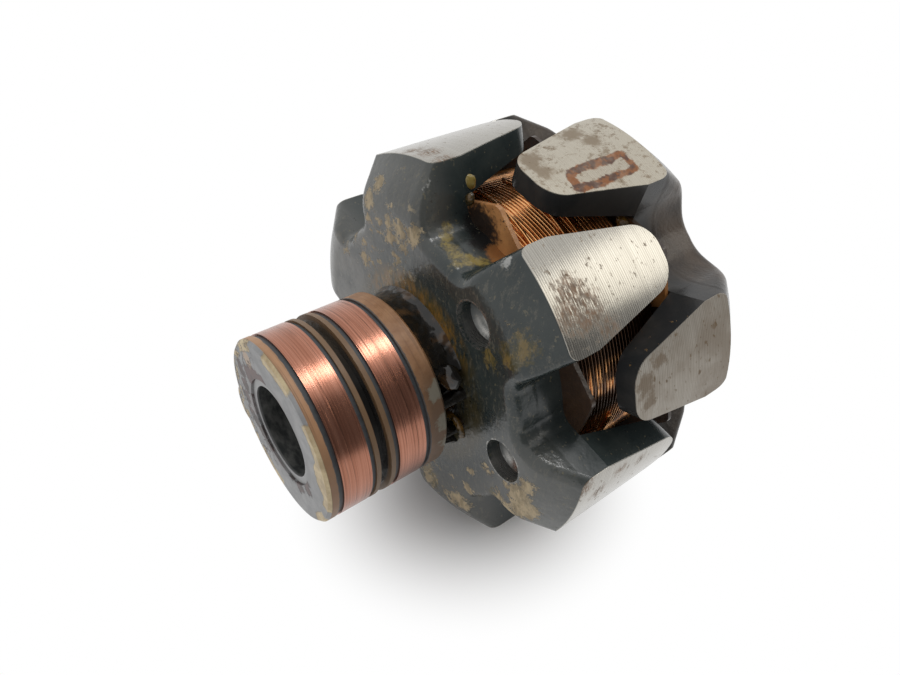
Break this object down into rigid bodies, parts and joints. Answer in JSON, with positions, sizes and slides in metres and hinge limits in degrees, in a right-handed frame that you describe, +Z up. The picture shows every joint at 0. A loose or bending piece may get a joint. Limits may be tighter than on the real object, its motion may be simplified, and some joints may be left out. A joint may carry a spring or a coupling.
{
  "type": "claw-pole alternator rotor",
  "caption": "Claw-pole alternator rotor without its shaft: interlocking forged pole pieces round a field coil, with a copper slip ring unit at one end.",
  "frame": {"origin": "on the rotor axis, halfway along the turned band of the claws", "axes": "+Y along the rotor axis from the slip rings to the rear face, +Z up as the rotor lies on its claws, +X to the right seen from the slip ring end"},
  "size_m": [0.0734, 0.0748, 0.0734],
  "materials": {
    "pole_steel": "dark glossy insulating varnish over forged steel, turned claw faces left bare",
    "bare_steel": "turned, dulled",
    "ring_copper": "polished by the brushes, fine round scratches",
    "winding_wire": "clear-enamelled round wire, varnished",
    "ring_insulator": "turned phenolic moulding, worn",
    "ring_seal": "dull black",
    "coil_board": "varnished insulating board",
    "dark_resin": "dark dripped varnish",
    "lead_sleeving": "varnished sleeving"
  },
  "bodies": {
    "root": {"front_claw_pole": "pole_steel", "rear_claw_pole": "pole_steel", "pole_core": "bare_steel", "slip_ring_sleeve": "bare_steel", "outer_slip_ring": "ring_copper", "inner_slip_ring": "ring_copper", "field_winding": "winding_wire", "slip_ring_body": "ring_insulator", "outer_ring_front_seal": "ring_seal", "outer_ring_rear_seal": "ring_seal", "inner_ring_front_seal": "ring_seal", "inner_ring_rear_seal": "ring_seal", "front_bobbin_washer": "coil_board", "rear_bobbin_washer": "coil_board", "bobbin_tube": "coil_board", "resin_collar": "dark_resin", "upper_coil_lead": "lead_sleeving", "lower_coil_lead": "lead_sleeving"}
  },
  "joints": []
}
